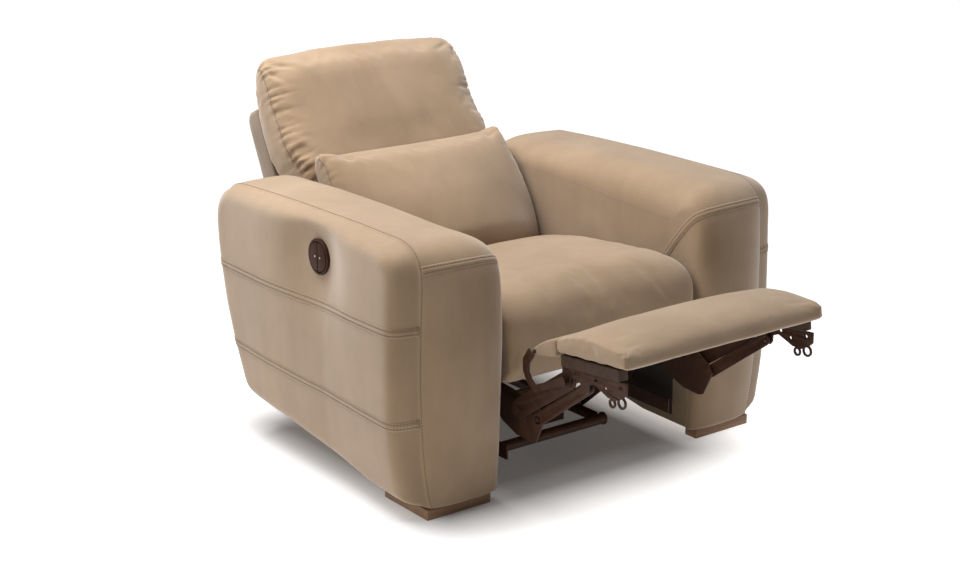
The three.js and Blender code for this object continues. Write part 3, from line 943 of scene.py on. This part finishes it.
def head_seam(side):
    """Where the head cushion's front panel is gathered on to its side panel."""
    x = side * (HEAD_HALF + 4)
    return flared(curve((x, -134, 524), ((x, -156, 502), (x, -163, 450)), ((x, -166, 360), (x, -180, 280)),
                        ((x, -190, 240), (x, -200, 180))))


def held(piece, low, high):
    """Keeps a cushion between the arms below local height low, and leaves it free above high."""
    points = unplace(coordinates(piece.data))
    limit = np.interp(back_height(points), (low, high), (HELD_HALF, FREE_HALF))
    points[:, 0] = np.clip(points[:, 0], -limit, limit)
    move_to(piece.data, place(points))


def build_head():
    piece = lofted("head_cushion_cover", HEAD_HALF, head_section,
                   ((1, 0.93), (0.99, 0.962), (0.965, 0.985), (0.9, 1)), flared)
    inflate(piece, voxel=8, cap=14)
    for number, (_, side) in enumerate(SIDES):
        line = head_seam(side)

        def front_only(points, nearest, side=side):
            ahead = (nearest - points) @ np.array([0, math.cos(BACK_RECLINE), -math.sin(BACK_RECLINE)])
            inward = (nearest - points)[:, 0] * side
            return np.clip(0.35 + (ahead + inward) / 16, 0.2, 1)
        push(piece, gathers(line, depth=10 if side < 0 else 6, pitch=26, reach=38,
                            seed=11.3 + 7 * number, one_side=front_only))
    folds = []
    for _, side in SIDES:
        for (y, z), (far_x, far_y, far_z) in HEAD_FOLDS:
            between = (side * 262, (y + far_y) / 2 - 6, (z + far_z) / 2)
            folds.append(flared(curve((side * 312, y, z), (between, (side * far_x, far_y, far_z)))))
    push(piece, creases(folds, depth=5.5, width=8))
    for _, side in SIDES:
        knot = flared((side * (HEAD_HALF + 2), -148, 524))
        push(piece, lambda p, knot=knot: -7 * np.exp(-((np.linalg.norm(p - knot, axis=1) / 15) ** 2)))
    push(piece, lambda p: 2.2 * soft_noise(p, 85, 2.9))
    held(piece, low=240, high=300)
    seam_stitches("head_stitching", [head_seam(side) for _, side in SIDES], piece, "back")
    dress(piece, SUEDE, "back", "upholstery", "head_cushion")


def lumbar_seam(side):
    """Where the lumbar cushion's front panel meets its side panel."""
    x = side * (LUMBAR_HALF + 2)
    return on_back(curve((x, -266, 236), ((x, -294, 226), (x, -303, 176)), ((x, -322, 80), (x, -334, -70))))


def build_lumbar():
    piece = lofted("lumbar_cushion_cover", LUMBAR_HALF, lumbar_section,
                   ((1, 0.965), (0.992, 0.985), (0.97, 0.996), (0.9, 1)), on_back)
    inflate(piece, voxel=8, cap=12, share=lambda p: eased((back_height(p) + 20) / 210))
    for number, (_, side) in enumerate(SIDES):
        def top_only(points, nearest):
            return np.clip((back_height(nearest) - 60) / 70, 0, 1)
        push(piece, gathers(lumbar_seam(side), depth=3, pitch=30, reach=26,
                            seed=31.7 + number, one_side=top_only))
    top = on_back(curve((-LUMBAR_HALF, -262, 243), ((0, -284, 250), (LUMBAR_HALF, -262, 243))))
    push(piece, groove(top, depth=2.6, width=3.6))
    folds = [on_back(curve((side * 290, -280, y), ((side * 245, -300, y - 14), (side * 205, -312, y - 30))))
             for _, side in SIDES for y in (232, 206)]
    push(piece, creases(folds, depth=4.0, width=8))
    push(piece, lambda p: 2.0 * soft_noise(p, 100, 5.3))
    held(piece, low=400, high=500)
    seam_stitches("lumbar_stitching", [lumbar_seam(side) for _, side in SIDES], piece, "back")
    dress(piece, SUEDE, "back", "upholstery", "lumbar_cushion")


def build_shell():
    """The upholstered board behind the cushions, with a seam down each rear edge."""
    def section(part):
        drop = 6 * part**6
        return curve((-1, 2), ((2, 210), (0, 408 - drop)), ((-3, 434 - drop), (-24, 436 - drop)),
                     ((-52, 434 - drop),), ((-67, 432 - drop), (-68, 416 - drop)),
                     ((-68, 8),), ((-66, 1), (-58, 1)))
    piece = lofted("back_shell_cover", SHELL_HALF, section,
                   ((1, 0.955), (0.992, 0.985), (0.975, 1), (0.9, 1)), on_back, count=120)
    refine(piece)
    lines = [on_back(curve((side * 297, 1, 6), ((side * 297, 2, 210), (side * 297, -1, 400)),
                           ((side * 297, -4, 431), (side * 297, -30, 435)), ((side * 297, -60, 434),)))
             for _, side in SIDES]
    for line in lines:
        push(piece, groove(line, depth=2.0, width=3.0))
    push(piece, lambda p: 1.0 * soft_noise(p, 140, 9.1))
    inset = [line * (0, 1, 1) + np.array([line[0, 0] * 0.965, 0, 0]) for line in lines]
    seam_stitches("shell_stitching", inset, piece, "back")
    dress(piece, SHADED_SUEDE, "back", "upholstery", "back_shell")


# ---------- footrest ----------
FOOTREST_HALF = 295
FOOTREST_FRONT = -236
FLAP_HALF = 289


def footrest_section(part):
    """The footrest pad's side outline, in the footrest's own frame."""
    lift = 11 * (1 - part**3)
    front = FOOTREST_FRONT
    corner = part**6
    return curve((0, 2), ((1, 25), (-4, 31)), ((-24, 39 + lift), (-60, 44 + lift * 1.3)),
                 ((front / 2, 50 + lift * 1.6), (front + 60, 42 + lift * 1.2)),
                 ((front + 26 - 20 * corner, 36 + lift * 0.8), (front + 5 - 4 * corner, 23 + 8 * corner)),
                 ((front - 1 + corner, 16 + 8 * corner), (front, 1)), ((0, 1),), per_step=30)


def build_footrest():
    piece = lofted("footrest_cushion_cover", FOOTREST_HALF, footrest_section,
                   ((1, 0.975), (0.994, 0.99), (0.98, 1)), on_footrest)
    inflate(piece, voxel=5, cap=4, pressure=2.0)
    corners = []
    for _, side in SIDES:
        for end, away in ((-4, 1), (FOOTREST_FRONT + 3, -1)):
            corners.append(on_footrest(curve((side * 290, end, 6), ((side * 291, end + away, 22),
                           (side * 284, end - away * 6, 38)), ((side * 262, end - away * 22, 48),))))
    for line in corners:
        push(piece, groove(line, depth=2.6, width=3.4))
    folds = [on_footrest(curve((side * 280, y, 38), ((side * 245, y, 48), (side * 205, y + 6, 53))))
             for _, side in SIDES for y in (-40, -96, -158, -206)]
    push(piece, creases(folds, depth=1.8, width=8))
    push(piece, lambda p: 1.2 * soft_noise(p, 90, 4.4))
    dress(piece, SUEDE, "footrest", "upholstery", "footrest_cushion", "footrest_board")


def build_flap():
    """The padded flap between the footrest and the seat."""
    def section(_):
        return curve((-104, 393), ((-104, 383), (-124, 385)), ((-181, 395),), ((-189, 397), (-188, 407)),
                     ((-188, 437), (-174, 436)), ((-134, 422), (-104, 393)))
    piece = lofted("flap_cushion_cover", FLAP_HALF, section, ((1, 0.9), (0.99, 0.97), (0.97, 1)), count=90)
    refine(piece)
    push(piece, lambda p: 0.8 * soft_noise(p, 60, 8.4))
    dress(piece, SUEDE, "footrest", "upholstery", "flap_cushion")


# ---------- hard parts ----------
# Radius of the softened edges, for each kind of rigid part.
BEVEL = {"dark_steel": 0.7, "black_plastic": 1.0, "foot_wood": 1.8, "plywood": 1.0}


def crisp(node, material):
    """A CAD part again with softened edges and smooth round faces."""
    slot = SLOT_OF[node]
    piece = add(f"{node}_shape", frame["nodes"][node].data.copy())
    bm = bmesh.new()
    bm.from_mesh(piece.data)
    bmesh.ops.remove_doubles(bm, verts=bm.verts, dist=WELD)
    bmesh.ops.dissolve_limit(bm, angle_limit=math.radians(1), verts=bm.verts, edges=bm.edges)
    bm.to_mesh(piece.data)
    bm.free()
    modifier = piece.modifiers.new("Bevel", "BEVEL")
    modifier.width = BEVEL[slot] * MM
    modifier.segments = 2
    modifier.limit_method = "ANGLE"
    modifier.angle_limit = math.radians(42)
    settle(piece)
    piece.data.set_sharp_from_angle(angle=math.radians(46))
    dress(piece, material, BODY_OF[node], slot, node)


def build_hard_parts():
    """Every rigid CAD part again, and webbing on the straps, which keep their CAD shape."""
    for node, slot in SLOT_OF.items():
        if slot in BEVEL and not frame["nodes"][node].hide_render:
            crisp(node, PLYWOOD if "batten" in node else FINISH[slot])
        elif slot == "webbing":
            data = frame["nodes"][node].data
            data.materials.clear()
            data.materials.append(WEBBING)


def build_control_marks():
    """A small pale dot on each button, near the split between the two."""
    sides = 20
    from_split = 9
    rings = ((0.0, 2.0), (0.5, 2.0), (0.7, 1.7))  # how far each stands out, and its radius
    for part in ("front", "rear"):
        low, high = (unplace(corner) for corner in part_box(f"control_button_{part}"))
        middle_y = high[1] - from_split if part == "front" else low[1] + from_split
        middle_z = (low[2] + high[2]) / 2
        points = []
        for rise, radius in rings:
            for k in range(sides):
                angle = 2 * math.pi * k / sides
                points.append((low[0] + 0.3 - rise, middle_y + radius * math.cos(angle),
                               middle_z + radius * math.sin(angle)))
        piece = make(f"button_dot_{part}", points, tube_faces(len(rings), sides))
        dress(piece, MARK, f"button_{part}", "black_plastic")


# ---------- setting ----------
FLOOR_HALF = 90000
# The painted shadow under the chair, where the floor's glow is low, is a box, given in metres by its middle
# and its half size.
GLOW_MIDDLE = (-0.1, 0.02, 0)
GLOW_HALF = (0.35, 0.37, 0)
GLOW_REACH = 4
# How bright the floor's own glow, which is painted light, is at distances in metres from the painted shadow
# under the chair.
GLOW = ((0, 0.065), (0.215, 0.92), (0.45, 0.8), (1.0, 0.42), (3.9, 0.7))
# Each lamp's kind, place, strength and size: metres for an area lamp, degrees for a sun.
LAMPS = {"key": ("AREA", (-640, 920, 2300), 72, 1.5),
         "sun": ("SUN", (300, 60, 1000), 1.8, 50),
         "side": ("SUN", (-1000, 150, 450), 0.76, 50)}
CAMERA_PLACE = (-2728.4, -3156.3, 1750.3)
CAMERA_DOWN = 17.19  # degrees below level
CAMERA_RIGHT = 36.97  # degrees to the right of straight at the chair's front
CAMERA_LENS = 70.25


def floor_material():
    """Pale floor with a glow of its own, painted light which fades in around a painted shadow under the
    chair.
    """
    s = Shader("floor", shine=0.0, roughness=0.9, emission_color=(1, 0.98, 0.96, 1))
    s.color(s.ramp(s.noise(2, 2), (0.3, (0.62, 0.62, 0.63)), (0.7, (0.63, 0.63, 0.64))))
    around = s.vector("ABSOLUTE", s.vector("SUBTRACT", s.place, GLOW_MIDDLE))
    away = s.vector("LENGTH", s.vector("MAXIMUM", s.vector("SUBTRACT", around, GLOW_HALF), (0, 0, 0)))
    span = s.nodes.new("ShaderNodeMapRange")
    span.inputs["From Max"].default_value = GLOW_REACH
    s.links.new(away, span.inputs["Value"])
    glow = s.ramp(span.outputs["Result"], *((run / GLOW_REACH, (level,) * 3) for run, level in GLOW))
    s.links.new(glow, s.principled.inputs["Emission Strength"])
    return s.material


def build_floor():
    corners = [(x * FLOOR_HALF, y * FLOOR_HALF, 0) for x, y in ((-1, -1), (1, -1), (1, 1), (-1, 1))]
    floor = make("floor", corners, [(0, 1, 2, 3)])
    floor.data.materials.append(floor_material())


def build_lamps():
    """The lamps, all turned to the chair's origin, and a faint light from all round."""
    world = bpy.data.worlds.new("studio")
    world.use_nodes = True
    world.node_tree.nodes["Background"].inputs["Color"].default_value = (0.97, 0.98, 1, 1)
    world.node_tree.nodes["Background"].inputs["Strength"].default_value = 0.01
    bpy.context.scene.world = world
    for name, (kind, spot, power, size) in LAMPS.items():
        light = bpy.data.lights.new(name, kind)
        light.energy = power
        light.color = (1, 0.995, 0.99)
        if kind == "AREA":
            light.size = size
        else:
            light.angle = math.radians(size)
        lamp = add(name, light)
        lamp.location = place(spot)
        lamp.rotation_euler = Vector(spot).to_track_quat("Z", "Y").to_euler()


def build_camera():
    """The camera that the photo was taken from."""
    camera = bpy.data.cameras.new("camera")
    camera.lens = CAMERA_LENS
    camera.sensor_width = 36
    eye = add("camera", camera)
    eye.location = place(CAMERA_PLACE)
    eye.rotation_euler = (math.radians(90 - CAMERA_DOWN), 0, math.radians(-CAMERA_RIGHT))
    bpy.context.scene.camera = eye
    bpy.context.scene.view_settings.view_transform = "Standard"


build_floor()
build_lamps()
build_camera()
build_arms()
build_seat()
build_head()
build_lumbar()
build_shell()
build_footrest()
build_flap()
build_hard_parts()
build_control_marks()
